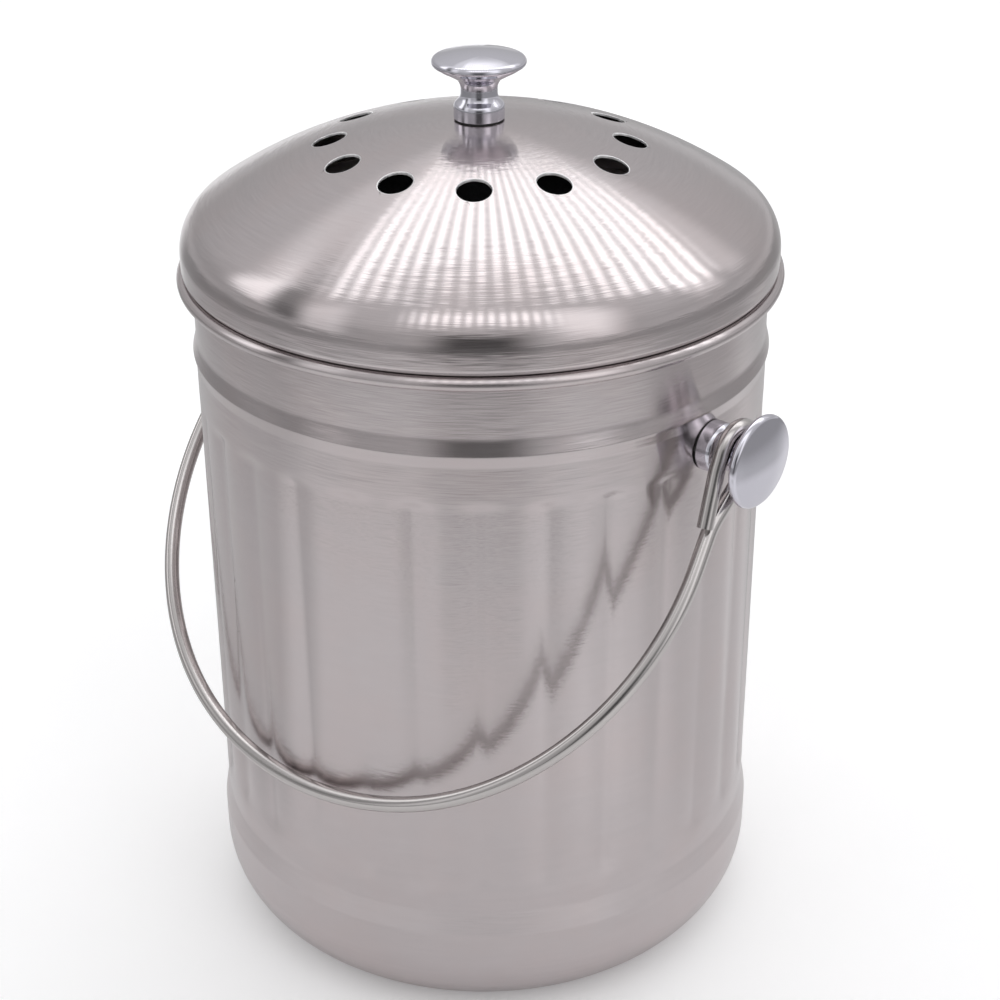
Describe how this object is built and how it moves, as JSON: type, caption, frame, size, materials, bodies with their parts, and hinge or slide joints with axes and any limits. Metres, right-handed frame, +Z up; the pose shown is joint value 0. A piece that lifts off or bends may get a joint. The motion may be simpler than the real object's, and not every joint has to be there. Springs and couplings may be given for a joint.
{
  "type": "compost pail",
  "caption": "Ribbed stainless compost pail with a domed vented lift-off lid, a carbon filter held inside the lid and a wire bail handle that swings on round knobs.",
  "frame": {"origin": "centre of the pail's base, on the plane that it stands on", "axes": "+Z up, +X along the bail's pivot axis, and the bail hangs down the -Y side, which is the front"},
  "size_m": [0.2158, 0.1852, 0.2893],
  "materials": {
    "brushed_stainless": "stainless sheet, fine brushing that runs round the pail and the lid",
    "plain_stainless": "plain rolled stainless, satin",
    "bright_wire": "bright drawn stainless wire",
    "polished_chrome": "mirror polished chrome plate",
    "zinc_steel": "bright zinc plated steel",
    "black_rubber": "soft black rubber",
    "grey_fleece": "needled polyester fleece",
    "carbon_pad": "activated carbon fibre pad, matt black"
  },
  "bodies": {
    "pail": {"pail_shell": "brushed_stainless", "pivot_knob_right": "polished_chrome", "pivot_knob_left": "polished_chrome", "pivot_gasket_right": "black_rubber", "pivot_gasket_left": "black_rubber", "pivot_washer_right": "zinc_steel", "pivot_washer_left": "zinc_steel", "pivot_lock_washer_right": "zinc_steel", "pivot_lock_washer_left": "zinc_steel", "pivot_screw_right": "zinc_steel", "pivot_screw_left": "zinc_steel"},
    "bail": {"bail_wire": "bright_wire"},
    "lid": {"lid_dome": "brushed_stainless", "lid_plug_ring": "plain_stainless", "filter_clips": "plain_stainless", "filter_fleece": "grey_fleece", "filter_carbon_pad": "carbon_pad", "lid_knob": "polished_chrome", "lid_gasket": "black_rubber", "lid_washer": "zinc_steel", "lid_lock_washer": "zinc_steel", "lid_screw": "zinc_steel"}
  },
  "joints": [
    {"name": "bail_swing", "type": "hinge", "parent": "pail", "child": "bail", "pos_m": [0, 0, 0.19], "axis": [-1, 0, 0], "range_deg": [0, 279.9]},
    {"name": "lid_lift", "type": "slide", "parent": "pail", "child": "lid", "axis": [0, 0, 1], "range_m": [0, 0.12]}
  ]
}
